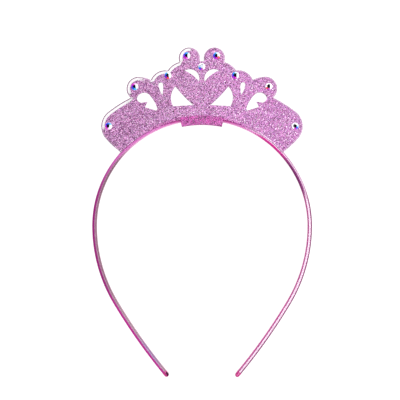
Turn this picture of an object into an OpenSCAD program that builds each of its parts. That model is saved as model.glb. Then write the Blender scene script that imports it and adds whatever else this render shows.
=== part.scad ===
// Mini crown headband: a stiff band that grips the head, with a flat glitter crown on its front
// edge. The object lies on its back edge: +Y runs from the band's ends up to the crown, +Z is
// the side that faces forwards when it is worn. The origin is the middle of its outline at z = 0.

/* [Band] */
// Radius of the band's upper half circle, on the band's middle line
band_r = 61.5; // [50:0.5:75]
// Thickness of the band, from the head outwards
band_t = 2.5; // [2:0.1:3.5]
// Depth of the band, from its back edge to its front edge
band_d = 5; // [4:0.5:9]
// Rounding of the band's two back corners
band_back_r = 0.6; // [0.3:0.1:0.8]
// Rounding of its two front corners, which leaves a flat strip that the crown is glued to
band_front_r = 0.8; // [0.3:0.05:0.9]
// Radius of each arm below the half circle
arm_r = 85.5; // [70:0.5:110]
// Angle through which each arm turns inwards
arm_turn = 30.9; // [20:0.1:36]
// Radius of each nearly straight end below its arm
end_r = 322; // [240:1:420]
// Angle through which each end turns further
end_turn = 9.2; // [6:0.1:12]
// Length of the dipped tip at each end
tip_len = 3.4; // [2.5:0.1:8]

/* [Crown plate] */
// Width of the crown over its two wings
crown_w = 114.4; // [100:0.2:124]
// Height of the crown above the band's middle line
crown_h = 40.1; // [34:0.1:50]
// Thickness of the crown plate
plate_t = 3; // [2:0.1:5]
// How far the plate's lower edge laps over the band's front edge at the wings
plate_lap = 0.45; // [0.3:0.05:1]
// How much further it laps over it in the middle, as its lower edge is a flatter arc
middle_lap = 0.7; // [0.1:0.05:1]
// Angle that the centre tab spans on the band's half circle
tab_angle = 22.8; // [16:0.2:26]
// How far the centre tab reaches inside the band
tab_drop = 2.6; // [1.5:0.1:5]
// How far the block behind the tab stays in front of the band's back edge
block_back = 0.5; // [0.2:0.1:2]

/* [Stones] */
// Width of a stone over its girdle
stone_d = 4; // [3:0.1:4.4]
// Height of a stone from its flat back to its table
stone_h = 1.7; // [1.2:0.1:2.4]

/* [Fit] */
// Thickness of glue between pieces that are stuck together
glue = 0.05; // [0.02:0.01:0.15]

/* [Hidden] */

// Centres of the band's stretches on the right, and the angles that its dipped tip spans
tip_turn = turn_of(tip_len - band_t / 2, end_r);
arm_centre = [band_r - arm_r, 0];
end_centre = arm_centre + (arm_r - end_r) * [cos(arm_turn), -sin(arm_turn)];
tip_angle = arm_turn + end_turn - turn_of(band_t / 2, end_r);
tip_centre = end_centre + end_r * [cos(tip_angle), -sin(tip_angle)];

// The tab reaches inside the band
outer_r = band_r + band_t / 2;
inner_r = band_r - band_t / 2;
tab_r = inner_r - tab_drop;
plate_z = band_d + glue;
stone_z = plate_z + plate_t + glue;

// Neighbouring stretches of the band overlap by the reach and differ by the seam all round
seam = 0.01;
seam_reach = 0.3;
reach_turn = turn_of(seam_reach, arm_r);

SWEEP_FN = 180;
ROUND_FN = 24;
ARC_STEP = 5;

// Columns of the outline tables: share of half the crown's width from its middle line, share
// of its height above the band's middle line, and the bulge of the arc to the next row, which is
// its rise over half its chord, positive to the left of the way it runs
ACROSS = 0;
UP = 1;
BULGE = 2;

// Half the crown, from the dip between the two top lobes down to the wing's lower corner
CROWN_ROWS = [
    [0.000, 0.804, -0.20],
    [0.022, 0.815, 1.37],
    [0.222, 0.793, 0.20],
    [0.339, 0.673, 0.36],
    [0.507, 0.538, 0.12],
    [0.629, 0.584, 0.70],
    [0.709, 0.287, 0.05],
    [0.921, 0.099, 0.43],
    [0.966, -0.277, 0.06],
    [0.817, -0.477, 0.00]
];

// Crescent above each half of the heart
CRESCENT_ROWS = [
    [0.029, 0.514, 0.72],
    [0.176, 0.670, -0.15]
];

// Three-cornered hole below each half of the heart
CORNER_ROWS = [
    [0.080, 0.180, -0.06],
    [0.264, 0.449, 0.34],
    [0.284, 0.165, 0.00]
];

// Slim drop beside the corner hole
DROP_ROWS = [
    [0.385, 0.475, 0.90],
    [0.433, 0.474, 0.12],
    [0.391, 0.321, 0.07]
];

// Hooked hole under the outer lobe, with a spur that points to the middle
HOOK_ROWS = [
    [0.441, 0.134, 0.12],
    [0.528, 0.337, 0.55],
    [0.648, 0.278, 0.30],
    [0.603, 0.213, 0.00],
    [0.543, 0.227, 0.00],
    [0.570, 0.153, 0.00],
    [0.454, 0.102, 0.20]
];

// The stones in pairs from the wings inwards and the single one in the dip, in the same shares
STONE_PLACES = [
    [0.926, -0.118],
    [0.665, 0.442],
    [0.335, 0.599],
    [0.148, 0.878],
    [0.000, 0.724]
];
PLACES = len(STONE_PLACES);

function turn_of(length, radius) = length / radius * 180 / PI;

function place(row) = [row[ACROSS] * crown_w / 2, band_r + row[UP] * crown_h];

// Points of the arc from p to q, without q: each lies at the end of a chord that starts at p
function arc(p, q, bulge) =
    let (
        turn = 4 * atan(bulge),
        steps = max(1, ceil(abs(turn) / ARC_STEP)),
        heading = atan2(q.y - p.y, q.x - p.x),
        radius = bulge == 0 ? 0 : norm(q - p) / 2 / sin(turn / 2)
    )
    [
        for (i = [0 : steps - 1])
            let (part = turn * i / steps, aim = heading + (turn - part) / 2)
            p + 2 * radius * sin(part / 2) * [cos(aim), sin(aim)]
    ];

function chain(rows) = [
    for (i = [0 : len(rows) - 2]) each arc(place(rows[i]), place(rows[i + 1]), rows[i][BULGE])
];

function loop(rows) = chain(concat(rows, [rows[0]]));

wing_corner = place(CROWN_ROWS[len(CROWN_ROWS) - 1]);
half_outline = concat(chain(CROWN_ROWS), [wing_corner]);
crown_top = max([for (p = half_outline) p.y]);
end_bottom = tip_centre.y - band_t / 2;
middle_y = (crown_top + end_bottom) / 2;

// The plate's lower edge is one arc: its distance from the band's centre at the wing's corner and
// in the middle gives how far its own centre lies below that
wing_seat = outer_r - plate_lap;
middle_seat = wing_seat - middle_lap;
wing_share = wing_corner.y / norm(wing_corner);
seat_below = (wing_seat ^ 2 - middle_seat ^ 2) / 2 / (middle_seat - wing_seat * wing_share);

module in_frame() {
    translate([0, -middle_y, 0]) children();
}

module both_sides() {
    children();
    mirror([1, 0, 0]) children();
}

// Section of the band, thinner by the inset all round: flat sides, a flat back and a flat front,
// and four rounded corners
module band_section(inset = 0) {
    half = band_t / 2 - inset;
    back_x = band_t / 2 - band_back_r;
    front_x = band_t / 2 - band_front_r;
    front_z = band_d - band_front_r;
    translate([-half, band_back_r]) square([2 * half, front_z - band_back_r]);
    translate([-back_x, inset]) square([2 * back_x, band_back_r - inset]);
    translate([-front_x, front_z]) square([2 * front_x, band_front_r - inset]);
    for (side = [-1, 1]) {
        translate([side * back_x, band_back_r]) circle(r = band_back_r - inset, $fn = ROUND_FN);
        translate([side * front_x, front_z]) circle(r = band_front_r - inset, $fn = ROUND_FN);
    }
}

// The section swept clockwise round a centre, from one angle below the X axis to another
module sweep_down(centre, radius, from, to, inset = 0) {
    translate([centre.x, centre.y, 0])
        rotate([0, 0, -to])
            rotate_extrude(angle = to - from, $fn = SWEEP_FN)
                translate([radius, 0]) band_section(inset);
}

// The half circle and the two ends are full size, and the bent arms between them reach into both
module headband() {
    color("#c9529b") in_frame() union() {
        sweep_down([0, 0], band_r, -180, 0);
        both_sides() {
            sweep_down(arm_centre, arm_r, -reach_turn, arm_turn + reach_turn, seam);
            sweep_down(end_centre, end_r, arm_turn, tip_angle - tip_turn - turn_of(glue, end_r));
        }
    }
}

// The dipped tip: the band's own section, closed by turning half of it about its middle
module tip() {
    union() {
        sweep_down(end_centre, end_r, tip_angle - tip_turn, tip_angle);
        translate([tip_centre.x, tip_centre.y, 0])
            rotate([0, 0, 180 - tip_angle])
                translate([0, -seam, 0])
                    rotate_extrude(angle = 180, $fn = SWEEP_FN)
                        intersection() {
                            band_section(seam);
                            square([band_t, band_d]);
                        }
    }
}

module tip_right() {
    color("#d6409a") in_frame() tip();
}

module tip_left() {
    color("#d6409a") in_frame() mirror([1, 0, 0]) tip();
}

// Slice of a ring about the band's centre, as wide as the centre tab
module tab_slice(inside, outside) {
    corner = 2 * outside * [sin(tab_angle / 2), cos(tab_angle / 2)];
    difference() {
        intersection() {
            circle(r = outside, $fn = SWEEP_FN);
            polygon([[0, 0], corner, [-corner.x, corner.y]]);
        }
        circle(r = inside, $fn = SWEEP_FN);
    }
}

// Plain block behind the tab, stuck to the inside of the band
module tab_block() {
    color("#b8348a") in_frame()
        translate([0, 0, block_back])
            linear_extrude(height = band_d - block_back)
                tab_slice(tab_r, inner_r - glue);
}

// The crown's outline, closed through the band's centre, which the seat then cuts away
module crown_outline() {
    right = half_outline;
    left = [for (i = [len(right) - 1 : -1 : 1]) [-right[i].x, right[i].y]];
    polygon(concat(right, [[0, 0]], left));
}

module crown_holes() {
    both_sides() {
        for (rows = [CRESCENT_ROWS, CORNER_ROWS, DROP_ROWS, HOOK_ROWS]) {
            polygon(loop(rows));
        }
    }
}

// Cuts a plan shape right through the plate, past both its faces
module through() {
    translate([0, 0, -plate_t]) linear_extrude(height = 3 * plate_t) children();
}

// The flat plate with its lower edge on the band's front edge, its centre tab and its holes
module crown_plate() {
    color("#c184bb") in_frame() translate([0, 0, plate_z]) difference() {
        union() {
            difference() {
                linear_extrude(height = plate_t) crown_outline();
                through() translate([0, -seat_below]) circle(r = middle_seat + seat_below, $fn = SWEEP_FN);
            }
            linear_extrude(height = plate_t) tab_slice(tab_r, outer_r);
        }
        through() crown_holes();
    }
}

// Columns of the table of a stone's corners: share of its radius, share of its height, number
// of corners round it, and their turn in half steps
OUT = 0;
RISE = 1;
SIDES = 2;
TURN = 3;

// Back, girdle, middle of the crown facets and table
STONE_RINGS = [
    [0.90, 0.00, 16, 1],
    [1.00, 0.22, 16, 1],
    [0.80, 0.66, 8, 1],
    [0.46, 1.00, 8, 0]
];

// One stone, numbered from left to right; its corners are closed by their hull
module stone(number) {
    side = number <= PLACES ? -1 : 1;
    at = place(STONE_PLACES[number <= PLACES ? number - 1 : 2 * PLACES - 1 - number]);
    corners = [
        for (ring = STONE_RINGS)
            for (k = [0 : ring[SIDES] - 1])
                let (
                    turn = (k + ring[TURN] / 2) * 360 / ring[SIDES],
                    reach = ring[OUT] * stone_d / 2
                )
                [reach * cos(turn), reach * sin(turn), ring[RISE] * stone_h]
    ];
    color("#9fc6ea") in_frame()
        translate([side * at.x, at.y, stone_z])
            hull() polyhedron(points = corners, faces = [[for (i = [0 : len(corners) - 1]) i]]);
}

headband();
tip_left();
tip_right();
tab_block();
crown_plate();
stone(1);  // stone_1
stone(2);  // stone_2
stone(3);  // stone_3
stone(4);  // stone_4
stone(5);  // stone_5
stone(6);  // stone_6
stone(7);  // stone_7
stone(8);  // stone_8
stone(9);  // stone_9
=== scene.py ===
# %% [markdown]
# # A mini crown headband, dressed for its portrait
# The object is a stiff, glossy pink headband with a flat crown of glitter acrylic on its front
# edge, and nine small crystals. It lies on its back edge and is seen almost straight from above.
# The packed CAD model gives every size and place. It could simply be painted, but its faces are
# plain and its edges are cut square. So this script builds finer surfaces over it, and gives each
# of them a finish made of shader nodes alone, which stays sharp from near and needs no image.

import math

import bpy
import numpy as np
from mathutils import Matrix, Vector
from mathutils.geometry import delaunay_2d_cdt


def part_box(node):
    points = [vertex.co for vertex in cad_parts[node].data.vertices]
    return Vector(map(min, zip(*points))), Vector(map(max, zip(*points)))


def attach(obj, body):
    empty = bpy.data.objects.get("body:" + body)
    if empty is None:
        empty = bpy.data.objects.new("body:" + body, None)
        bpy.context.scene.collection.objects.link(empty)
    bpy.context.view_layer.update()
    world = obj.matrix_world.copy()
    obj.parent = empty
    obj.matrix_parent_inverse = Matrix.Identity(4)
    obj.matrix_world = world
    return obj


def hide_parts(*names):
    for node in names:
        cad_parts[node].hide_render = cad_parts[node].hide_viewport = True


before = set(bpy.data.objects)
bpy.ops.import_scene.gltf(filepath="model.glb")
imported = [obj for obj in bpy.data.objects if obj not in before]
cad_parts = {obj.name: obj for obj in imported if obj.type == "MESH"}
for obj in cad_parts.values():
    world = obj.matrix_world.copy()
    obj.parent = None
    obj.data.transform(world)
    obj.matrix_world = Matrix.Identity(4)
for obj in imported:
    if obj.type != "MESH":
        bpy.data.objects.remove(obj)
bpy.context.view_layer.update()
MM = 0.001
SCENE = bpy.context.scene

# %% [markdown]
# ## Where things are
# The band is the anchor of the whole design: the crown's seat, its centre tab and the tint that
# shows through the tab are all circles about the band's centre. That centre could be typed in.
# It is worked out from the box of the headband's own node instead, so that it lies where the
# packed model has it.

# %% The band's sizes and its centre
BAND_RADIUS = 61.5 * MM
BAND_THICK = 2.5 * MM
BAND_DEEP = 5 * MM
FRONT_ROUND = 0.8 * MM
BACK_ROUND = 0.6 * MM
ARM_RADIUS = 85.5 * MM
ARM_TURN = math.radians(30.9)
END_RADIUS = 322 * MM
END_TURN = math.radians(9.2)
TIP_LONG = 3.4 * MM
GLUE = 0.05 * MM

CENTRE_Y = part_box("headband")[1].y - BAND_RADIUS - BAND_THICK / 2
print("the band's centre lies at y =", round(CENTRE_Y / MM, 3), "mm")

# %% [markdown]
# ## From arrays to a mesh
# Every new piece is worked out with numpy, with all its points in one array. Curves and modifiers
# could shape such pieces too, but an array says by one formula where each point lies, and lets
# each point carry a number that a finish can read. The helpers below turn arrays into a mesh, mark
# its points, and let it stand for its CAD node.

# %% Grid faces, a mesh from arrays, and its marks
def grid_faces(rows, columns):
    """Quads of a tube's grid: face (i, j) joins points (i, j), (i+1, j), (i+1, j+1) and (i, j+1),
    where point (i, j) is number i * columns + j, and j + 1 starts again at 0 past the last."""
    i, j = np.meshgrid(np.arange(rows - 1), np.arange(columns), indexing="ij")
    k = (j + 1) % columns
    quads = np.stack([i * columns + j, (i + 1) * columns + j, (i + 1) * columns + k, i * columns + k], -1)
    return quads.reshape(-1, 4).tolist()


def make_piece(name, points, faces, sharp_deg=40):
    """A mesh object from an array of points and a list of faces, smooth except at sharp edges."""
    mesh = bpy.data.meshes.new(name)
    mesh.from_pydata(np.asarray(points, float).reshape(-1, 3).tolist(), [], faces)
    mesh.validate()
    mesh.shade_smooth()
    mesh.set_sharp_from_angle(angle=math.radians(sharp_deg))
    piece = bpy.data.objects.new(name, mesh)
    SCENE.collection.objects.link(piece)
    print(f"{name}: {len(mesh.vertices)} points, {len(mesh.polygons)} faces")
    return piece


def mark(piece, name, values, domain="POINT"):
    """Gives each point, or each face, of a piece a number that its finish can read."""
    layer = piece.data.attributes.new(name, "FLOAT", domain)
    layer.data.foreach_set("value", np.asarray(values, float).ravel())


def dress(piece, node, material):
    """Lets a piece stand for its CAD node: the node is hidden, and the piece gets this material and hangs
    under the root.
    """
    piece.data.materials.append(material)
    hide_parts(node)
    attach(piece, "root")

# %% [markdown]
# ## Shader arithmetic
# A finish could be clicked together in the shader editor, but it is easier to read as a formula
# than as a tangle of nodes. The first class wraps one output socket, so that adding or multiplying
# two of them adds the Math node for it. The second holds a material, and everything that isn't
# plain arithmetic comes from its one method `node`, which the other methods give short names.

# %% Arithmetic with sockets
class Wire:
    """One output socket, which takes part in Python arithmetic."""

    def __init__(self, finish, socket):
        self.finish = finish
        self.socket = socket

    def _math(self, operation, first, second):
        return self.finish.node("ShaderNodeMath", {"operation": operation}, {0: first, 1: second})

    def __add__(self, other):
        return self._math("ADD", self, other)

    __radd__ = __add__

    def __sub__(self, other):
        return self._math("SUBTRACT", self, other)

    def __rsub__(self, other):
        return self._math("SUBTRACT", other, self)

    def __mul__(self, other):
        return self._math("MULTIPLY", self, other)

    __rmul__ = __mul__


print("a wire can be added, subtracted and multiplied")

# %% A material and its nodes
class Finish:
    """A material with a Principled shader, and the nodes that feed it."""

    def __init__(self, name, **constants):
        self.material = bpy.data.materials.new(name)
        self.material.use_nodes = True
        self.tree = self.material.node_tree
        self.shader = self.tree.nodes["Principled BSDF"]
        self.feed(**constants)

    def node(self, kind, settings=None, sockets=None, output=0):
        """Adds a node: its settings are set first, then its sockets get values or links."""
        made = self.tree.nodes.new(kind)
        for key, value in (settings or {}).items():
            if key == "stops":
                ramp_stops = made.color_ramp.elements
                while len(ramp_stops) < len(value):
                    ramp_stops.new(1)
                for stop, (place, colour) in zip(ramp_stops, value):
                    stop.position = place
                    stop.color = (*colour, 1)
            else:
                setattr(made, key, value)
        for key, value in (sockets or {}).items():
            self.join(value, made.inputs[key])
        return Wire(self, made.outputs[output])

    def join(self, value, socket):
        """Links a wire to a socket, or sets the socket to a plain value."""
        if isinstance(value, Wire):
            self.tree.links.new(value.socket, socket)
        else:
            socket.default_value = value

    def feed(self, **values):
        """Feeds the Principled shader's sockets, with _ for a space in a socket's name."""
        for socket, value in values.items():
            self.join(value, self.shader.inputs[socket.replace("_", " ")])

    def place(self):
        """Object coordinates, in metres."""
        return self.node("ShaderNodeTexCoord", output="Object")

    def attribute(self, name, output="Fac"):
        """A mark of the piece, as a number, or as the colour or alpha of a colour mark."""
        return self.node("ShaderNodeAttribute", {"attribute_name": name}, output=output)

    def axes(self, vector):
        """The three numbers of a vector."""
        parts = self.node("ShaderNodeSeparateXYZ", sockets={0: vector})
        return [Wire(self, socket) for socket in parts.socket.node.outputs]

    def vector(self, operation, first, second=None, output=0):
        """A Vector Math node of one or two vectors, or of a vector and its scale."""
        sockets = {0: first}
        if second is not None:
            sockets["Scale" if operation == "SCALE" else 1] = second
        return self.node("ShaderNodeVectorMath", {"operation": operation}, sockets, output)

    def step(self, value, low, high):
        """Goes smoothly from 0 at low to 1 at high, and keeps those values outside."""
        return self.node(
            "ShaderNodeMapRange", {"interpolation_type": "SMOOTHSTEP"},
            {"Value": value, "From Min": low, "From Max": high},
        )

    def blend(self, amount, first, second, mode="MIX"):
        """A colour between two colours, or the second multiplied over the first."""
        settings = {"data_type": "RGBA", "blend_type": mode, "clamp_factor": True}
        first, second = [(*c, 1) if isinstance(c, tuple) else c for c in (first, second)]
        return self.node("ShaderNodeMix", settings, {0: amount, 6: first, 7: second}, output=2)

    def layers(self, colour, *coats):
        """Lays colours over a first one, each (amount, colour) over those before it."""
        for amount, over in coats:
            colour = self.blend(amount, colour, over)
        return colour

    def shades(self, value, stops):
        """A colour ramp through these (place, colour) stops."""
        return self.node("ShaderNodeValToRGB", {"stops": stops}, {0: value})

    def noise(self, vector, scale, detail=2.0):
        """Fractal noise from 0 to 1, with about this many features in a metre."""
        return self.node("ShaderNodeTexNoise", None, {"Vector": vector, "Scale": scale, "Detail": detail})


print("what a finish can do:", ", ".join(name for name in vars(Finish) if not name.startswith("_")))

# %% [markdown]
# ## The band's path and section
# The headband is one bent strip. Its middle line is a half circle over the head, and two arcs on
# each side that close in towards the neck. A bevelled curve could draw it, but would leave no say
# over each corner of the section. So a profile is carried along a path: one array holds the
# path's points and its outward normals, another the profile, and their sum is the whole surface.

# %% The path's formula
def band_path(along):
    """Points and outward normals at these distances from the band's top, negative to the left.
    On the half circle the turn is s / r. Past it the turn goes on at 1 / R of each arc, and
    p = c + R n, where c is the centre of the arc that p is on."""
    s = np.abs(along)
    side = np.where(along < 0, -1.0, 1.0)
    half = math.pi / 2 * BAND_RADIUS
    arm = ARM_TURN * ARM_RADIUS
    turn = np.where(s < half, s / BAND_RADIUS, math.pi / 2 + (s - half) / ARM_RADIUS)
    turn = np.where(s < half + arm, turn, math.pi / 2 + ARM_TURN + (s - half - arm) / END_RADIUS)
    normal = np.stack([np.sin(turn), np.cos(turn)], -1)
    arm_centre = np.array([BAND_RADIUS - ARM_RADIUS, 0])
    arm_end = np.array([math.cos(ARM_TURN), -math.sin(ARM_TURN)])
    end_centre = arm_centre + (ARM_RADIUS - END_RADIUS) * arm_end
    point = normal * BAND_RADIUS
    point = np.where((s > half)[..., None], arm_centre + ARM_RADIUS * normal, point)
    point = np.where((s > half + arm)[..., None], end_centre + END_RADIUS * normal, point)
    flip = np.stack([side, np.ones_like(side)], -1)
    return point * flip + (0, CENTRE_Y), normal * flip


BAND_END = math.pi / 2 * BAND_RADIUS + ARM_TURN * ARM_RADIUS + END_TURN * END_RADIUS
print("the band measures", round(2 * BAND_END / MM, 1), "mm along its middle line")

# %% The section's formula
CORNER_TURN = np.radians([0, 15, 30, 45, 60, 75, 90])
CORNER_MOST = 0.95


def band_section(half, deep):
    """Section of a strip with this half thickness and depth at each station, as (outward, up)
    points: four quarter circles c + r (cos t, sin t), one at each corner, joined by flats. The
    corners go round from the outer front one to the inner front, inner back and outer back, and
    their radius stays within CORNER_MOST of the half thickness."""
    half, deep = np.asarray(half, float)[:, None], np.asarray(deep, float)[:, None]
    front, back = np.minimum(FRONT_ROUND, half * CORNER_MOST), np.minimum(BACK_ROUND, half * CORNER_MOST)
    out, up = [], []
    for quarter, (side, radius) in enumerate([(1, front), (-1, front), (-1, back), (1, back)]):
        t = CORNER_TURN + quarter * math.pi / 2
        out.append(side * (half - radius) + radius * np.cos(t))
        up.append((deep - radius if quarter < 2 else radius) + radius * np.sin(t))
    return np.stack([np.concatenate(out, 1), np.concatenate(up, 1)], -1)


one_section = band_section([BAND_THICK / 2], [BAND_DEEP])[0]
print("the section measures", (np.ptp(one_section, axis=0) / MM).round(2), "mm, outwards and up")

# %% The section carried along the path
def carried(along, half, deep):
    """The section carried along the path: (x, y) = p + out * n, z = up. Both ends are closed. A
    run to the right turns all faces over, so that they look outwards either way."""
    point, normal = band_path(along)
    section = band_section(half, deep)
    plan = point[:, None, :] + section[..., :1] * normal[:, None, :]
    grid = np.concatenate([plan, section[..., 1:]], -1)
    rows, columns = grid.shape[:2]
    first = list(range(columns))
    last = [(rows - 1) * columns + k for k in range(columns)]
    faces = grid_faces(rows, columns) + [first, last[::-1]]
    return grid, [face[::-1] for face in faces] if along[-1] > along[0] else faces


def ramp(value, low, high):
    """0 at low, 1 at high, with the smooth step t^2 (3 - 2 t) between them."""
    t = np.clip((value - low) / (high - low), 0, 1)
    return t * t * (3 - 2 * t)


print("a ramp from 0 to 1 passes", ramp(0.25, 0, 1), "at a quarter of its way")

# %% [markdown]
# ## Light and dark along the strip
# The real strip is moulded plastic under a metallic pink lacquer, and so glossy that it mirrors
# the room: one stretch looks nearly white and another plum. Panels and dark cards round the camera
# could make such reflections, but they would also light up the glitter, and shift in every view.
# So each stretch is a mark, a number from 0 to 1 at each point of the strip, and the finish blends its
# colours by the marks: painted reflections and painted shade in place of the room. They are functions of
# s, the distance from the band's top in millimetres, which is negative on the left.

# %% The marks along the strip
TIP_START = BAND_END - TIP_LONG
STATIONS = 441
stations = np.linspace(-(TIP_START - GLUE), TIP_START - GLUE, STATIONS)
s = stations / MM


def hump(middle, reach, power):
    """exp(-((s - middle) / reach)^power), a hill of height 1. The power makes its sides steep."""
    return np.exp(-(((s - middle) / reach) ** power))


# Each mark of painted reflection or painted shade, with its places in millimetres along the strip
STRETCHES = {
    "left": 1 - ramp(s, 22, 38),
    "bright": ramp(s, -86, -38) * ramp(-s, 18, 28),
    "dim": hump(-66, 13, 4),
    "blush": hump(0, 52, 8),
    "flush": hump(0, 20, 6),
    "pale": hump(38, 12, 4),
    "hot": hump(46, 13, 4),
    # A painted reflection of something dark: a plum stretch on the right arm
    "pooled": hump(66, 13.5, 4),
    "cool": hump(-177, 9, 4) * 0.7,
    "low": ramp(abs(s), 128, 150),
}
print("marks along the strip:", ", ".join(STRETCHES))

# %% The marks round the section
# How far up each point looks, and whether it is on the inner side or in the inner front corner
CORNERS = len(CORNER_TURN)
crest_round = np.concatenate([np.sin(CORNER_TURN), np.cos(CORNER_TURN), np.zeros(2 * CORNERS)])
inner_round = np.repeat([0.0, 1.0, 1.0, 0.0], CORNERS)
inner_front_round = np.repeat([0.0, 1.0, 0.0, 0.0], CORNERS)
print("points round the section:", len(crest_round))

# %% The band
full = np.ones(STATIONS)
band = make_piece("band", *carried(stations, full * BAND_THICK / 2, full * BAND_DEEP))
mark(band, "crest", np.tile(crest_round, STATIONS))
mark(band, "inner", np.tile(inner_round, STATIONS))
for name, along_it in STRETCHES.items():
    mark(band, name, np.repeat(along_it, len(crest_round)))

# %% [markdown]
# ## The band's lacquer
# From the front the strip shows its two rounded corners as lines, with a narrow flat between them. On the
# left arm the outer line is magenta and the inner side greyish, brighter and darker beside the crown and
# bluish near the tip. On the right two mauve lines enclose a bright flat, and past the crown one side
# turns hot pink and then plum. These are the room's reflections and shade on the glossy lacquer, painted
# into its colour: the corners are painted a deeper pink than the flat as painted shade, and the sides and
# stretches carry painted reflections and painted shade. A texture could hold all that, but would need an
# image. Here each colour is a coat with its own amount, laid over those before it. Most marks count half
# as much on the side walls, and the clear coat mirrors the lamp on the flat.

# %% Where the lacquer's colours lie
# The mark "inner" goes from 0 on the strip's outer line to 1 on its inner line, so a step over it
# says across which part of the strip a colour lies
lacquer = Finish(
    "lacquered_pink", Metallic=0.1, Specular_IOR_Level=0.2, Coat_Roughness=0.09, Coat_IOR=1.75,
)
left, bright, dim, blush, flush, pale, hot, pooled, cool, low = map(lacquer.attribute, STRETCHES)
crest, inner = lacquer.attribute("crest"), lacquer.attribute("inner")
outer = 1 - inner
flatness = lacquer.step(crest, 0.9, 1.0)
on_front = lacquer.step(crest, 0.0, 0.3)
half_on_walls = on_front * 0.5 + 0.5
# Painted shade and painted reflection on the left arm: a darker magenta outer line and a grey inner side
magenta_side = left * lacquer.step(inner, 0.85, 0.25)
grey_side = left * inner * half_on_walls
bright_side = bright * lacquer.step(inner, 1.0, 0.4) * half_on_walls
dim_side = dim * lacquer.step(inner, 0.5, 0.85) * (on_front * 0.4 + 0.4)
cool_side = cool * lacquer.step(inner, 0.3, 0.8) * half_on_walls
pale_side = pale * lacquer.step(inner, 0.75, 0.3) * on_front * 0.8
hot_side = hot * lacquer.step(inner, 0.25, 0.65) * half_on_walls
plum_reflection_side = pooled * lacquer.step(inner, 0.0, 0.4) * half_on_walls
# A painted pale reflection on the inner line beside the hot pink and plum stretches
silver_side = lacquer.node("ShaderNodeMath", {"operation": "MAXIMUM"}, {0: hot, 1: pooled})
silver_side = silver_side * lacquer.step(inner, 0.25, 0.0) * on_front
print("masks of the lacquer:", len(lacquer.tree.nodes), "nodes")

# %% The lacquer's colours on the corners
ROSE = (0.40, 0.03, 0.21)
WARM_ROSE = (0.48, 0.05, 0.27)
LOW_ROSE = (0.50, 0.03, 0.26)
WINE = (0.21, 0.016, 0.115)
GREY = (0.22, 0.11, 0.15)
LOW_GREY = (0.33, 0.23, 0.26)
MAGENTA = (0.31, 0.001, 0.18)
LOW_MAGENTA = (0.48, 0.01, 0.27)
BLUSH = (0.80, 0.32, 0.62)
CLOUDS_PER_METRE = 90

spot = lacquer.place()
cloud = lacquer.step(lacquer.noise(spot, CLOUDS_PER_METRE, 3), 0.35, 0.65)
# The corners: painted shade makes them a deeper pink than the flat and the outer corner darker still,
# with random warmer patches, lighter towards the ends, and the left arm's and the top's painted
# reflections
corner = lacquer.layers(
    lacquer.blend(cloud, ROSE, WARM_ROSE),
    (low, LOW_ROSE),
    (outer, WINE),
    (grey_side, lacquer.blend(low, GREY, LOW_GREY)),
    (magenta_side, lacquer.blend(low, MAGENTA, LOW_MAGENTA)),
    (blush, BLUSH),
)
print("with the corners:", len(lacquer.tree.nodes), "nodes")

# %% The lacquer's colours on the flat
FLAT_MAUVE = (0.38, 0.17, 0.31)
FLAT_GREY = (0.27, 0.10, 0.20)
FLAT_LOW_GREY = (0.30, 0.14, 0.23)
FLAT_MAGENTA = (0.26, 0.001, 0.15)
FLAT_LOW_MAGENTA = (0.40, 0.01, 0.23)
FLAT_BLUSH = (0.46, 0.055, 0.36)
FLAT_FLUSH = (0.42, 0.008, 0.22)

# The flat: painted reflections make it greyer on the left arm, magenta on its outer part and more
# saturated at the top
level = lacquer.layers(
    lacquer.blend(left, FLAT_MAUVE, lacquer.blend(low, FLAT_GREY, FLAT_LOW_GREY)),
    (magenta_side, lacquer.blend(low, FLAT_MAGENTA, FLAT_LOW_MAGENTA)),
    (blush, FLAT_BLUSH),
    (flush, FLAT_FLUSH),
)
print("with the flat:", len(lacquer.tree.nodes), "nodes")

# %% The whole lacquer
ORCHID = (0.62, 0.14, 0.49)
SHADE = (0.16, 0.06, 0.11)
BLUISH = (0.25, 0.14, 0.34)
SILVER_PINK = (0.60, 0.36, 0.53)
PALE_PINK = (0.76, 0.46, 0.69)
HOT_PINK = (0.54, 0.005, 0.235)
PLUM = (0.14, 0.001, 0.10)
STREAKS_PER_METRE = (300, 300, 2600)

# The painted reflections and painted shade of the stretches, laid over corners and flat
tone = lacquer.layers(
    lacquer.blend(flatness, corner, level),
    (bright_side, ORCHID),
    (dim_side, SHADE),
    (cool_side, BLUISH),
    (silver_side, SILVER_PINK),
    (pale_side, PALE_PINK),
    (hot_side, HOT_PINK),
    (plum_reflection_side, PLUM),
)
# The clear coat is taken off where the hot pink, the plum and the saturated top are painted
painted_tones = lacquer.step(hot_side + plum_reflection_side + flush, 0.0, 0.7)
streak = lacquer.noise(lacquer.vector("MULTIPLY", spot, STREAKS_PER_METRE), 1, 2)
lacquer.feed(
    Base_Color=tone, Roughness=streak * 0.12 + 0.24,
    Coat_Weight=(flatness * 0.8 + 0.2) * (1 - painted_tones) * (1 - left * 0.85) * (1 - outer * 0.4),
)
dress(band, "headband", lacquer.material)
print("lacquer:", len(lacquer.tree.nodes), "nodes")

# %% [markdown]
# ## The dipped tips
# Each end was dipped into thicker, deeper pink, which swells a little at its mouth and closes in
# a round end. A ball could cap the strip, but would leave a seam. So the dip is carried along the
# same path, and closes with a half thickness that falls as sqrt(r^2 - x^2), which makes the end a
# piece of a ball. The left tip has a dark spot on its inner side, which is a mark again.

# %% The tips' shape
TIP_SHORT = 0.03 * MM
LEAST_HALF = 0.02 * MM
SWELL = 0.07 * MM
SWELL_AT = 0.5
SPOT_FROM = 0.4 * MM
SPOT_FULL = 1.2 * MM
TIP_ROWS = 12
END_ROWS = 14

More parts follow.
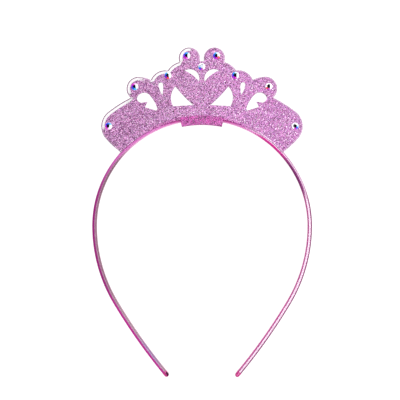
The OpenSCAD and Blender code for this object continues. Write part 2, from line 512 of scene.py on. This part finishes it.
half_r = BAND_THICK / 2
ball = BAND_END - TIP_SHORT - half_r
straight = np.linspace(TIP_START, ball, TIP_ROWS)
rounding = ball + half_r * np.sin(np.linspace(0, math.pi / 2, END_ROWS)[1:])
along = np.concatenate([straight, rounding])
beyond = np.clip(along - ball, 0, half_r)
half = np.sqrt(np.maximum(half_r**2 - beyond**2, LEAST_HALF**2))
half = half + SWELL * np.exp(-(((along - TIP_START) / MM - SWELL_AT) ** 2))
past = np.clip(beyond - (half_r - FRONT_ROUND), 0, FRONT_ROUND)
deep = BAND_DEEP - FRONT_ROUND + np.sqrt(FRONT_ROUND**2 - past**2)
spot_along = ramp(along, TIP_START + SPOT_FROM, TIP_START + SPOT_FULL)
print("a dip swells to", round(2 * half.max() / MM, 2), "mm across")

# %% Dipped pink and the two tips
DIP = (0.46, 0.02, 0.18)
LIGHT_DIP = (0.56, 0.035, 0.26)
DARK_SPOT = (0.06, 0.0005, 0.03)
POOLS_PER_METRE = 420

dipped = Finish("dipped_pink", Specular_IOR_Level=0.05, Coat_Roughness=0.06, Coat_IOR=1.5)
pool = dipped.noise(dipped.place(), POOLS_PER_METRE, 2)
# A dark spot on the inner front corner of the left tip, near its start
drained = dipped.attribute("drained")
dipped.feed(
    Base_Color=dipped.layers(dipped.blend(pool, DIP, LIGHT_DIP), (drained, DARK_SPOT)),
    Roughness=pool * 0.15 + 0.22, Coat_Weight=0.4 - drained * 0.4,
)
for name, node, side in (("tip_dip_right", "tip_right", 1), ("tip_dip_left", "tip_left", -1)):
    tip = make_piece(name, *carried(side * along, half, deep), sharp_deg=50)
    mark(tip, "drained", np.outer(spot_along * (side < 0), inner_front_round))
    dress(tip, node, dipped.material)

# %% [markdown]
# ## The crown's outline
# The crown is cut from a flat sheet. Its outline could be drawn again as curves, but it is already
# in the packed model, as the border of the plate's front face. So it is read from there: an edge
# that only one front triangle uses is on the border. The edges come in no order, and have to be
# strung into one loop for the outline and one for each of the eight holes, with the sheet always
# on the left. Walking from edge to edge would do it, one point at a time. Doubling does it for all
# at once: each edge knows the one after it, so it can learn which comes 2, 4, 8 and more after it.

# %% The border of the plate's front face
# Corners in millimetres are rounded to this many decimals, so that faces share them
DECIMALS = 4
FRONT_SLACK = 0.01


def front_border(node):
    """The points (x, y) of a node, and the start and end numbers of the edges round its face at
    the greatest z. An edge (a, b) is on the border if no front triangle has the edge (b, a)."""
    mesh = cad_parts[node].data
    mesh.calc_loop_triangles()
    spots = np.empty(len(mesh.vertices) * 3)
    mesh.vertices.foreach_get("co", spots)
    triangles = np.empty(len(mesh.loop_triangles) * 3, int)
    mesh.loop_triangles.foreach_get("vertices", triangles)
    spots = np.round(spots.reshape(-1, 3) / MM, DECIMALS)
    merged, names = np.unique(spots, axis=0, return_inverse=True)
    triangles = names.reshape(-1)[triangles].reshape(-1, 3)
    on_front = merged[:, 2] > merged[:, 2].max() - FRONT_SLACK
    triangles = triangles[on_front[triangles].all(1)]
    a = triangles.reshape(-1)
    b = np.roll(triangles, -1, axis=1).reshape(-1)
    border = ~np.isin(a * len(merged) + b, b * len(merged) + a)
    return merged[:, :2] * MM, a[border], b[border]


corners, edge_starts, edge_ends = front_border("crown_plate")
print("edges on the border:", len(edge_starts))

# %% Edges strung into loops
def strung(starts, ends):
    """Closed loops of start numbers, the longest first. By doubling, each edge learns the greatest
    edge number in its loop, where the loop is taken to start, and then how many edges are left."""
    numbers = np.arange(len(starts))
    doublings = range(len(starts).bit_length())
    order = np.argsort(starts)
    after = order[np.searchsorted(starts, ends, sorter=order)]
    first, ahead = numbers, after
    for _ in doublings:
        first, ahead = np.maximum(first, first[ahead]), ahead[ahead]
    closing = after == first
    left, ahead = np.where(closing, 0, 1), np.where(closing, numbers, after)
    for _ in doublings:
        left, ahead = left + left[ahead], ahead[ahead]
    order = np.lexsort([-left, -first])
    loops = np.split(starts[order], np.flatnonzero(np.diff(first[order])) + 1)
    return sorted(loops, key=len, reverse=True)


def refined(loop, longest):
    """The same loop with more points, a + (b - a) k / n on each side from a to b, where n is the
    least number of equal parts that are no longer than this."""
    side = np.roll(loop, -1, axis=0) - loop
    parts = np.ceil(np.linalg.norm(side, axis=1) / longest).astype(int)
    owner = np.repeat(np.arange(len(loop)), parts)
    share = np.arange(parts.sum()) - np.repeat(np.cumsum(parts) - parts, parts)
    return loop[owner] + side[owner] * (share / parts[owner])[:, None]


OUTLINE_STEP = 0.5 * MM
loops = [refined(corners[loop], OUTLINE_STEP) for loop in strung(edge_starts, edge_ends)]
print("loops and their points:", [len(loop) for loop in loops])

# %% [markdown]
# ## The crown's rounded rim
# The sheet's outer edge is polished round, and its holes and its seat are cut square. A Bevel
# modifier would round them all alike. So the front face is a height over the plan, which falls
# near the outer edge as a quarter of an ellipse does. The height needs one number at each point,
# the distance to the edge. Rings of points at fixed distances carry the bend, and a Delaunay
# triangulation joins them all.

# %% The sides of the outline
SEAT_RADIUS = 62.32 * MM

starts = np.concatenate(loops)
ends = np.concatenate([np.roll(loop, -1, axis=0) for loop in loops])
middles = (starts + ends) / 2 - (0, CENTRE_Y)
is_outer = np.arange(len(starts)) < len(loops[0])
is_rim = is_outer & (np.linalg.norm(middles, axis=1) > SEAT_RADIUS)
print("sides on the polished rim:", int(is_rim.sum()), "of", len(starts))

# %% Distance from the sides, and inside or outside
def distance(points, chosen):
    """Least distance from each point to the chosen sides: |p - a - t (b - a)| with t clipped to
    0..1, and the number of the side that is nearest."""
    a, b = starts[chosen], ends[chosen]
    side = b - a
    offset = points[:, None, :] - a
    share = np.clip((offset * side).sum(-1) / (side**2).sum(-1), 0, 1)
    gap = np.linalg.norm(offset - share[..., None] * side, axis=-1)
    nearest = gap.argmin(1)
    return gap[np.arange(len(points)), nearest], nearest


def inside(points):
    """Whether a point is on the sheet: a ray to the right crosses an odd number of sides."""
    x, y = points[:, 0, None], points[:, 1, None]
    a, b = starts, ends
    spans = (a[:, 1] > y) != (b[:, 1] > y)
    slope = (b[:, 0] - a[:, 0]) / np.where(b[:, 1] == a[:, 1], 1, b[:, 1] - a[:, 1])
    return (spans & (x < a[:, 0] + (y - a[:, 1]) * slope)).sum(1) % 2 == 1


print("the band's centre is on the sheet:", bool(inside(np.array([(0, CENTRE_Y)]))[0]))

# %% Rings of points, and their triangles
RING_SLACK = 0.02 * MM
RING_CLEAR = 0.3 * MM
SAME_POINT = 1e-5


def rings(chosen, depths):
    """Points m + d n, where m is the middle of each chosen side, n its inward normal and d each
    of these depths. Left out are those that come nearer to any chosen side than their depth, or
    nearer to another side than RING_CLEAR."""
    a, b = starts[chosen], ends[chosen]
    along = (b - a) / np.linalg.norm(b - a, axis=1)[:, None]
    inward = np.stack([-along[:, 1], along[:, 0]], -1)
    kept = []
    for depth in depths:
        points = (a + b) / 2 + inward * depth
        own, _ = distance(points, chosen)
        other, _ = distance(points, ~chosen)
        kept.append(points[inside(points) & (own > depth - RING_SLACK) & (other > RING_CLEAR)])
    return np.concatenate(kept)


def triangulated(points, border):
    """Delaunay triangles over the sheet that keep the border's sides, the place of each point,
    and its new number. A triangle that runs along a side against the border's direction lies
    outside, however thin it is."""
    result = delaunay_2d_cdt((points / MM).tolist(), border.tolist(), [], 0, SAME_POINT)
    spots, _, triangles, origin, _, _ = result
    plan, triangles = np.array(spots) * MM, np.array(triangles)
    renumber = np.empty(len(points), int)
    renumber[np.concatenate(origin).astype(int)] = np.repeat(np.arange(len(origin)), [*map(len, origin)])
    sides = renumber[border]
    against = sides[:, 1] * len(plan) + sides[:, 0]
    runs = triangles * len(plan) + np.roll(triangles, -1, axis=1)
    kept = inside(plan[triangles].mean(1)) & ~np.isin(runs, against).any(1)
    return plan, triangles[kept], renumber


print("points in one ring just inside the rim:", len(rings(is_rim, [RING_CLEAR])))

# %% The front face
RIM_WIDE = 2.3 * MM
RIM_HIGH = 1.7 * MM
EDGE_BREAK = 0.15 * MM
RIM_DEPTHS = [d * MM for d in (0.06, 0.16, 0.32, 0.55, 0.85, 1.2, 1.6, 2.0, 2.3, 2.6)]
CUT_DEPTHS = [0.05 * MM, EDGE_BREAK, 0.5 * MM]

plate_low, plate_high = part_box("crown_plate")
lengths = [len(loop) for loop in loops]
follow = np.concatenate([np.roll(np.arange(n), -1) + sum(lengths[:i]) for i, n in enumerate(lengths)])
border = np.stack([np.arange(len(starts)), follow], -1)
ring_points = np.concatenate([rings(is_rim, RIM_DEPTHS), rings(~is_rim, CUT_DEPTHS)])
plan, triangles, front_of = triangulated(np.concatenate([starts, ring_points]), border)
print("front face:", len(plan), "points,", len(triangles), "triangles")


def front_height(points):
    """z = top - b (1 - sqrt(1 - (1 - d / a)^2)) within a of the rim, and the same with a small
    circle along the holes, the seat and the tab."""
    rim, _ = distance(points, is_rim)
    cut, _ = distance(points, ~is_rim)
    u = np.clip(1 - rim / RIM_WIDE, 0, 1)
    v = np.clip(1 - cut / EDGE_BREAK, 0, 1)
    fall = RIM_HIGH * (1 - np.sqrt(1 - u**2)) + EDGE_BREAK * (1 - np.sqrt(1 - v**2)) * (u < 1)
    return plate_high.z - fall

# %% The plate as one closed shell
back_plan, back, back_of = triangulated(starts, border)
back_from = len(plan)
points = np.concatenate([
    np.column_stack([plan, front_height(plan)]),
    np.column_stack([back_plan, np.full(len(back_plan), plate_low.z)]),
])
walls = np.stack([
    front_of[border[:, 0]], back_of[border[:, 0]] + back_from,
    back_of[border[:, 1]] + back_from, front_of[border[:, 1]],
], -1)
faces = triangles.tolist() + (back[:, ::-1] + back_from).tolist() + walls.tolist()
crown = make_piece("crown", points, faces, sharp_deg=50)

# %% [markdown]
# ## Where the rim is clear
# On the left of the crown the glitter stops short of the polished edge, and a clear margin shows.
# A second, clear sheet could make that margin, but the real crown is one piece. So two marks tell
# the finish about it: how far a point is from the rim, and how much of the margin is clear there.
# The second falls off to the right, towards edges that face down or to the right, and at the
# lower end of the left wing.

# %% The marks of the crown
# The back counts as at least this far from the rim, which keeps the thin edge line off it
BACK_GAP = 1 * MM
# The first mark stops at this many millimetres
FARTHEST = 4
# The margin fades in and out between bearings in degrees, then places in millimetres
FACING_IN, FACING_OUT = (70, 95), (-222, -195)
MIDDLE_FADE, WING_FADE, LOW_FADE = (3, 8), (52, 54), (-49.5, -46.5)

all_plan = np.concatenate([plan, back_plan])
gap, nearest = distance(all_plan, is_rim)
gap[back_from:] = np.maximum(gap[back_from:], BACK_GAP)
side = (ends - starts)[is_rim][nearest]
side = side / np.linalg.norm(side, axis=1)[:, None]
outward = np.stack([side[:, 1], -side[:, 0]], -1)
bearing = np.degrees(np.arctan2(outward[:, 1], outward[:, 0])) % 360
leftward, height = -all_plan[:, 0] / MM, all_plan[:, 1] / MM

clear = ramp(bearing, *FACING_IN) * ramp(-bearing, *FACING_OUT) * ramp(leftward, *MIDDLE_FADE)
clear *= 1 - ramp(leftward, *WING_FADE) * ramp(-height, *LOW_FADE)
mark(crown, "rim_gap", np.minimum(gap / MM, FARTHEST))
mark(crown, "clear_rim", clear)
print("rim points:", int((gap < RIM_WIDE).sum()), "of which clear:", int((clear > 0.5).sum()))

# %% [markdown]
# ## Glitter in clear plastic
# Glitter is a crowd of tiny mirrors, each with its own tilt and shade. Thousands of real flakes could be
# scattered, but each is smaller than a pixel. A Voronoi texture gives each cell one random colour
# instead. Taken as a direction it tilts the flake, and its three numbers say how light the flake is,
# whether it is a warm or a cool one, and whether it flashes, which is a painted glint. Two sizes of cell
# lie over each other, because real glitter is never of one size. Two ranges of shade blend into one
# another: an even, greyish one on the left, and a livelier and more purple one with brighter glints on
# the right. That split is painted light, since the lamp on the right catches more flakes there.

# %% Flakes of two sizes
COARSE_FLAKE = 0.34 * MM
FINE_FLAKE = 0.25 * MM

glitter = Finish("glitter_acrylic", Coat_Roughness=0.03, Coat_IOR=1.49, Roughness=0.35)
spot = glitter.place()
x = glitter.axes(spot)[0]


def flakes(size):
    """Voronoi cells of this size in metres: the random colour and the three numbers in it."""
    cell = glitter.node("ShaderNodeTexVoronoi", None, {"Vector": spot, "Scale": 1 / size}, "Color")
    return cell, glitter.axes(cell)


coarse, (coarse_a, coarse_b, coarse_c) = flakes(COARSE_FLAKE)
_, (fine_a, fine_b, fine_c) = flakes(FINE_FLAKE)
shade = coarse_a * 0.6 + fine_a * 0.4
print("flakes of", COARSE_FLAKE / MM, "and", FINE_FLAKE / MM, "mm")

# %% The flakes' colours
# Where a random number passes these, some flakes are picked out, or only a few
SOME, FEW = (0.7, 0.9), (0.93, 0.97)
RIGHTWARD = (-25 * MM, 30 * MM)
SHADE_AT = (0.12, 0.5, 0.88)
EVEN = [(0.055, 0.009, 0.046), (0.19, 0.048, 0.162), (0.44, 0.21, 0.395)]
LIVELY = [(0.042, 0.002, 0.034), (0.178, 0.029, 0.152), (0.495, 0.178, 0.45)]
WARM_FLAKE = (0.40, 0.09, 0.24)
COOL_FLAKE = (0.17, 0.11, 0.32)
SOFT_FLASH = (0.55, 0.43, 0.54)
FLASH = (0.75, 0.62, 0.74)

# Painted light: livelier shades and brighter glints towards the right, where the lamp catches more flakes
right_side_light = glitter.step(x, *RIGHTWARD)
even, lively = (glitter.shades(shade, list(zip(SHADE_AT, tones))) for tones in (EVEN, LIVELY))
# Painted glints: a few flakes of each size flash
flash = glitter.step(coarse_b, *FEW) + glitter.step(fine_c, *FEW) * 0.6
body = glitter.layers(
    glitter.blend(right_side_light, even, lively),
    (glitter.step(coarse_c, *SOME) * 0.4, WARM_FLAKE),
    (glitter.step(fine_b, *SOME) * 0.4, COOL_FLAKE),
    (flash, glitter.blend(right_side_light, SOFT_FLASH, FLASH)),
)
print("flakes:", len(glitter.tree.nodes), "nodes")

# %% [markdown]
# ## What shows through the crown
# The sheet lets a little light through, so the pink band tints its lower edge, and the tab in
# front of the band and the block is magenta. A see-through sheet would show that by itself, but
# slowly and with grain. Here the tint is painted: distance from the band's centre says where the
# band lies behind the sheet. Over the tab it is multiplied, which keeps the flakes' contrast, and
# has specks of its own. On the right wing the seat's edge catches the light and is paler.

# %% Tint over the band and the tab, and a painted highlight on the right seat
# Each pair says where a tint or the painted highlight starts and where it is full: first from the band's
# centre outwards, then from the left to the right, and for the tab from the middle to both sides
EDGE_AWAY, SEAT_AWAY = (63.2 * MM, 62.4 * MM), (62.8 * MM, 62.4 * MM)
BAND_RIGHT, BAND_LEFT = (38 * MM, 8 * MM), (-38 * MM, -22 * MM)
SEAT_RIGHT = (26 * MM, 36 * MM)
TAB_SIDES = (13.2 * MM, 12.2 * MM)
BAND_TINT = (0.28, 0.015, 0.18)
TAB_DARK = (0.36, 0.09, 0.37)
TAB_LIGHT = (1.14, 0.80, 1.12)
TAB_SPECK = (0.46, 0.015, 0.27)
SEAT_LIGHT = (0.80, 0.62, 0.78)

from_centre = glitter.vector("MULTIPLY", glitter.vector("SUBTRACT", spot, (0, CENTRE_Y, 0)), (1, 1, 0))
away = glitter.vector("LENGTH", from_centre, output="Value")
over_edge = glitter.step(away, *EDGE_AWAY)
over_band = over_edge * glitter.step(x, *BAND_RIGHT) * glitter.step(x, *BAND_LEFT)
from_middle = glitter.node("ShaderNodeMath", {"operation": "ABSOLUTE"}, {0: x})
over_tab = over_edge * glitter.step(from_middle, *TAB_SIDES)
# Painted highlight: the seat's edge under the right wing is made paler
over_seat = glitter.step(away, *SEAT_AWAY) * glitter.step(x, *SEAT_RIGHT)
tab_tint = glitter.blend(glitter.step(coarse_b, 0.3, 0.7), TAB_DARK, TAB_LIGHT)
body = glitter.blend(over_band * 0.5, body, BAND_TINT)
body = glitter.layers(
    glitter.blend(over_tab, body, tab_tint, "MULTIPLY"),
    (over_tab * glitter.step(coarse_c, 0.7, 0.85) * 0.7, TAB_SPECK),
    (over_seat * 0.35, SEAT_LIGHT),
)
print("with its tints:", len(glitter.tree.nodes), "nodes")

# %% [markdown]
# ## The clear rim and the flakes' tilt
# Where the margin is clear, the finish turns nearly white and mostly transparent, with a thin
# plum line at the very edge, and elsewhere the rim is a little paler. Refraction would be truer,
# but only white paper lies behind the margin. The flakes lie in the sheet and not on its rounded
# surface. So the normal is drawn towards straight up before each flake's own tilt is added, or
# else the rim would mirror the room and look dark.

# %% Clear rim and tilt
# Distances from the rim in millimetres, from where nothing shows to where it shows in full
MARGIN_FADE, LINE_FADE, PALE_FADE = (2.15, 1.95), (0.75, 0.55), (1.2, 0.2)
RIM_PALE = (0.50, 0.32, 0.47)
CLEAR = (0.95, 0.93, 0.95)
RIM_LINE = (0.26, 0.07, 0.20)
UP = (0.0, 0.0, 1.0)
# The pull upwards starts where the surface looks up by this much
LOOKING_UP = (0.05, 0.35)
UPWARD_PULL = 6
TILT = 0.3

rim_gap, clear_rim = glitter.attribute("rim_gap"), glitter.attribute("clear_rim")
margin = glitter.step(rim_gap, *MARGIN_FADE) * clear_rim
line = glitter.step(rim_gap, *LINE_FADE) * clear_rim
body = glitter.layers(
    body,
    (glitter.step(rim_gap, *PALE_FADE) * (1 - clear_rim) * 0.65, RIM_PALE),
    (margin, CLEAR),
    (line, RIM_LINE),
)
surface = glitter.node("ShaderNodeNewGeometry", output="Normal")
facing = glitter.step(glitter.axes(surface)[2], *LOOKING_UP)
pulled = glitter.vector("ADD", surface, glitter.vector("SCALE", UP, facing * UPWARD_PULL))
tilt = glitter.vector("SCALE", glitter.vector("SUBTRACT", coarse, (0.5, 0.5, 0.5)), TILT)
tilted = glitter.vector("ADD", glitter.vector("NORMALIZE", pulled), tilt)
glitter.feed(
    Base_Color=body, Metallic=(fine_b * 0.3 + 0.3) * (1 - margin),
    Normal=glitter.vector("NORMALIZE", tilted),
    Coat_Weight=0.1 - line * 0.1, Alpha=1 - (margin - line) * 0.8,
)
dress(crown, "crown_plate", glitter.material)
print("glitter:", len(glitter.tree.nodes), "nodes")

# %% [markdown]
# ## The block behind the tab
# A plain moulded block sits behind the crown's tab and carries it. It could get a new surface as
# well, but it is hidden from the front, and its CAD shape is right as it is. So it only gets a
# finish: smooth magenta plastic with faint flow marks.

# %% Moulded magenta
MOULDED = (0.40, 0.03, 0.20)
LIGHT_MOULDED = (0.50, 0.05, 0.28)
FLOWS_PER_METRE = 500

moulded = Finish("moulded_magenta", Coat_Weight=0.4, Coat_Roughness=0.15)
flow = moulded.noise(moulded.place(), FLOWS_PER_METRE, 3)
moulded.feed(Base_Color=moulded.blend(flow, MOULDED, LIGHT_MOULDED), Roughness=flow * 0.2 + 0.25)
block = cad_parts["tab_block"]
block.data.materials.clear()
block.data.materials.append(moulded.material)
print("tab_block keeps its", len(block.data.polygons), "CAD faces")

# %% [markdown]
# ## The cut of a crystal
# Each stone is a flat-backed crystal with a short skirt, two rows of facets and an eight-sided
# table. A ready-made cone or ball with few sides could stand for it, but its facets would lie
# wrongly. So four rings of corners are set out, and flat facets join each ring to the next.

# %% The rings and facets of a stone
STONE_R = 2 * MM
STONE_H = 1.7 * MM
# For the back, the girdle, the middle and the table: the ring's share of the radius and of the
# height, its number of corners, and its turn as a share of the step between two corners
STONE_RINGS = [(0.90, 0.0, 16, 0.5), (1.0, 0.22, 16, 0.5), (0.80, 0.66, 8, 0.5), (0.46, 1.0, 8, 0.0)]


def cut_stone(centre, base):
    """Rings of corners (r cos t, r sin t, h) for the back, the girdle, the middle and the table,
    joined by flat facets."""
    corners = []
    for share, rise, count, turn in STONE_RINGS:
        t = (np.arange(count) + turn) * 2 * math.pi / count
        up = np.full(count, base + rise * STONE_H)
        corners.append(np.stack([
            centre[0] + share * STONE_R * np.cos(t), centre[1] + share * STONE_R * np.sin(t), up,
        ], -1))
    # The corners are counted round each ring, and these are the numbers of the rings' first ones
    low, girdle, mid, table = 0, 16, 32, 40
    k16, k8 = np.arange(16), np.arange(8)
    after16, after8 = (k16 + 1) % 16, (k8 + 1) % 8
    skirt = np.stack([low + k16, low + after16, girdle + after16, girdle + k16], -1)
    wide = np.stack([girdle + 2 * k8, girdle + 2 * k8 + 1, mid + k8], -1)
    between = np.stack([girdle + 2 * k8 + 1, girdle + (2 * k8 + 2) % 16, mid + after8, mid + k8], -1)
    lower = np.stack([mid + k8, mid + after8, table + after8], -1)
    upper = np.stack([mid + k8, table + after8, table + k8], -1)
    faces = [list(range(15, -1, -1))] + skirt.tolist() + wide.tolist() + between.tolist()
    faces += lower.tolist() + upper.tolist() + [list(range(table, table + 8))]
    return np.concatenate(corners), faces


print("facets of a stone:", len(cut_stone((0, 0), 0)[1]))

# %% [markdown]
# ## The fire of a crystal
# The stones have a coating that splits the light. In the picture the facets above and on the left are
# blue, those below are violet, some are red, and the right side is white, while most inner facets and
# half of the table are dark. Real glass would bend the light by itself, but so small a stone would only
# turn to grain. So each facet is given one colour, by where it looks: painted fire, a painted highlight
# on the white side, and painted dark reflections of the room above on most inner facets and the tables,
# whose right part is a painted highlight. The facets also glow a little with these colours. The stones
# were glued on at any turn, so each has its own start and reach of the colours. The middle one mirrors
# the lamp as a painted reflection, and its whole table is pale.

# %% The coating
BRIGHT_TABLE = (0.80, 0.86, 0.95)
WHITE = (1, 1, 1)
GRAINS_PER_METRE = 1500

crystal = Finish(
    "coated_crystal", Coat_Roughness=0.02, Coat_IOR=1.5, Specular_IOR_Level=0.0, Emission_Strength=0.5,
)
gloss = crystal.attribute("fire", "Alpha")
# Painted highlight: each table turns bright right of its split
lit = crystal.attribute("on_table") * crystal.step(crystal.attribute("across"), 0.0, 0.35)
fire = crystal.blend(lit, crystal.attribute("fire", "Color"), BRIGHT_TABLE)
grain = crystal.noise(crystal.place(), GRAINS_PER_METRE, 1)
# Painted sheen: glossy facets are whitened a little by noise, and each facet glows with its painted
# colour at half strength
crystal.feed(
    Base_Color=crystal.blend(gloss * grain * 0.15, fire, WHITE), Emission_Color=fire,
    Roughness=grain * 0.1 + 0.05, Coat_Weight=gloss,
)
print("crystal:", len(crystal.tree.nodes), "nodes")

# %% The palette
# Each row: a place on the palette from 0 to 360, then red, green and blue
PALETTE = np.array([
    (0, 0.95, 0.95, 1.0), (45, 0.75, 0.95, 1.0), (85, 0.05, 0.58, 0.90), (125, 0.00, 0.20, 0.85),
    (165, 0.01, 0.01, 0.75), (205, 0.22, 0.00, 0.70), (240, 0.60, 0.00, 0.55), (275, 0.75, 0.03, 0.60),
    (310, 0.92, 0.70, 0.92), (360, 0.95, 0.95, 1.0),
])
print("colours on the palette:", len(PALETTE))

# %% Each facet's colour
FIRE_FROM = 45
FIRE_REACH = 265
TURN_MOST = 25
STRENGTHS = (0.7, 1.1)
RED_FACET = (0.80, 0.05, 0.05)
RED_REACH = 21
DARK_SIDE = 185
DARK_LEAN = -0.55
# An inner facet's normal points up by more than this
INNER_UP = 0.72
INNER_SHARE = 0.03
dice = np.random.default_rng(9)


def facet_fire(normals, start, reach, red_at):
    """A colour for each facet, and how far it leans to the dark side, from -1 to 1. The facet's
    bearing atan2(y, x), counted from the start and divided by the reach, gives its place on the
    palette, and facets past the reach are white."""
    bearing = np.degrees(np.arctan2(normals[:, 1], normals[:, 0]))
    bearing = (bearing + dice.uniform(-TURN_MOST, TURN_MOST)) % 360
    done = ((bearing - start) * np.sign(reach)) % 360 / abs(reach)
    # Painted highlight: facets past the reach are white
    place = np.where(done < 1, FIRE_FROM + done * FIRE_REACH, 0)
    colour = np.stack([np.interp(place, PALETTE[:, 0], PALETTE[:, c]) for c in (1, 2, 3)], -1)
    colour *= dice.uniform(*STRENGTHS, (len(colour), 1))
    if red_at is not None:
        colour[np.abs(bearing - red_at) < RED_REACH] = RED_FACET
    lean = np.cos(np.radians(bearing - DARK_SIDE))
    # Painted dark reflection: inner facets are darkened, except those that face away from the dark side
    colour[(normals[:, 2] > INNER_UP) & (lean > DARK_LEAN)] *= INNER_SHARE
    return colour, lean


print("a facet's strength varies from", STRENGTHS[0], "to", STRENGTHS[1])

# %% The nine crystals
TABLE_UP = 0.99
PALE_STONE = 5
PALE_TABLE = (0.45, 0.50, 0.62)
DARK_TABLE = (0.001, 0.001, 0.005)
TABLE_GLOSS, DARK_GLOSS, BRIGHT_GLOSS = 0.02, 0.2, 0.8
# For each stone: where its fire starts and how far it runs round in degrees, where its red
# facets lie if it has any, and how far right of the middle its table turns bright in millimetres
FIRES = [
    (30, 270, 222, 0.4), (310, -260, None, 0.4), (60, 225, 228, 0.3), (45, 265, None, 0.3),
    (185, 130, None, 0.0), (60, 250, 315, 0.35), (75, 220, None, 0.45), (196, 110, 216, 0.55),
    (345, -120, None, 0.65),
]

for number, (start, reach, red_at, split) in enumerate(FIRES, 1):
    lowest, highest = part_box(f"stone_{number}")
    middle = (lowest + highest) / 2
    points, faces = cut_stone((middle.x, middle.y), lowest.z)
    stone = make_piece(f"crystal_{number}", points, faces, sharp_deg=1)
    normals = np.empty(len(stone.data.polygons) * 3)
    stone.data.polygons.foreach_get("normal", normals)
    normals = normals.reshape(-1, 3)
    colour, lean = facet_fire(normals, start, reach, red_at)
    # The tables are painted dark as a painted reflection of the room above, and the middle stone's pale
    # table is a painted reflection of the lamp
    is_table = normals[:, 2] > TABLE_UP
    colour[is_table] = PALE_TABLE if number == PALE_STONE else DARK_TABLE
    shine = np.where(is_table, TABLE_GLOSS, np.where(lean > 0, DARK_GLOSS, BRIGHT_GLOSS))
    layer = stone.data.attributes.new("fire", "FLOAT_COLOR", "FACE")
    layer.data.foreach_set("color", np.column_stack([np.clip(colour, 0, 1), shine]).ravel())
    mark(stone, "across", (points[:, 0] - middle.x) / MM - split)
    mark(stone, "on_table", is_table & (number != PALE_STONE), "FACE")
    dress(stone, f"stone_{number}", crystal.material)

# %% [markdown]
# ## Studio
# Small shiny things are often laid on white paper and lit so softly that they cast almost no
# shadow. A box of large lamps could do that, but would be mirrored in the band as bright patches.
# So an even white surround does most of the work, and the paper glows a little itself. One soft
# light above the right side gives the band's flat and the flakes something to mirror, and a weak
# panel lights the right side.

# %% The paper floor
FLOOR_REACH = 12.0
PAPER_GREY = (0.28, 0.28, 0.28)
PAPER_LIGHT = (0.32, 0.32, 0.32)
FLECKS_PER_METRE = 30

paper = Finish("white_paper", Roughness=0.9, Emission_Color=(1, 1, 1, 1), Emission_Strength=0.9)
fleck = paper.noise(paper.place(), FLECKS_PER_METRE, 2)
paper.feed(Base_Color=paper.blend(fleck, PAPER_GREY, PAPER_LIGHT))
corners = np.array([(-1, -1, 0), (1, -1, 0), (1, 1, 0), (-1, 1, 0)]) * FLOOR_REACH
floor = make_piece("floor", corners, [[0, 1, 2, 3]])
floor.data.materials.append(paper.material)

# %% The white surround
SURROUND = 0.65

world = bpy.data.worlds.new("surround")
world.use_nodes = True
background = world.node_tree.nodes["Background"]
background.inputs["Color"].default_value = (1.0, 1.0, 1.0, 1)
background.inputs["Strength"].default_value = SURROUND
SCENE.world = world
print("the surround's strength:", SURROUND)

# %% Lights
def soft_light(name, at, aim, size, power):
    """A rectangular area light at a point, turned to another, with its power in watts."""
    data = bpy.data.lights.new(name, "AREA")
    data.shape = "RECTANGLE"
    data.size, data.size_y = size
    data.energy = power
    lamp = bpy.data.objects.new(name, data)
    lamp.location = at
    lamp.rotation_euler = (Vector(aim) - Vector(at)).to_track_quat("-Z", "Y").to_euler()
    SCENE.collection.objects.link(lamp)
    print(f"{name}: {power} W at {at}")


soft_light("top_light", at=(0.12, 0.08, 1.1), aim=(0.12, 0.08, 0), size=(0.35, 0.8), power=6.9)
soft_light("side_panel", at=(0.9, 0.0, 0.5), aim=(0, 0, 0), size=(1.0, 1.4), power=1.2)

# %% [markdown]
# ## Camera
# The picture is taken from almost straight above, a little from the right, and from so far away
# that the band's side walls hardly show. A camera could be turned by angles and zoomed until the
# picture fits. Here its axes are worked out instead: back from the object to the camera, and from
# that right and up. The lens follows from the width to be shown at the object's distance.

# %% Camera
PIXEL = 0.57 * MM
PICTURE_WIDE = 400
# The frame's origin in the picture, in pixels from its left and from its top
ORIGIN_ACROSS = 201.9
ORIGIN_DOWN = 212.5
CAMERA_HIGH = 0.8
CAMERA_RIGHT = 0.018
SENSOR_WIDE = 36

picture_middle = PICTURE_WIDE / 2
target = Vector((
    (picture_middle - ORIGIN_ACROSS) * PIXEL, (ORIGIN_DOWN - picture_middle) * PIXEL, BAND_DEEP,
))
camera_data = bpy.data.cameras.new("camera")
camera = bpy.data.objects.new("camera", camera_data)
backwards = Vector((CAMERA_RIGHT, 0, CAMERA_HIGH))
right = Vector((0, 1, 0)).cross(backwards).normalized()
up = backwards.cross(right).normalized()
turned = Matrix((right, up, backwards.normalized())).transposed()
camera.matrix_world = Matrix.Translation(target + backwards) @ turned.to_4x4()
camera_data.sensor_width = SENSOR_WIDE
camera_data.lens = SENSOR_WIDE * backwards.length / (PICTURE_WIDE * PIXEL)
camera_data.dof.use_dof = False
SCENE.collection.objects.link(camera)
SCENE.camera = camera
SCENE.view_settings.view_transform = "Standard"
print("lens:", round(camera_data.lens, 1), "mm")

# %% [markdown]
# ## The sizes
# The dressed headband has to stay as large as the packed one.
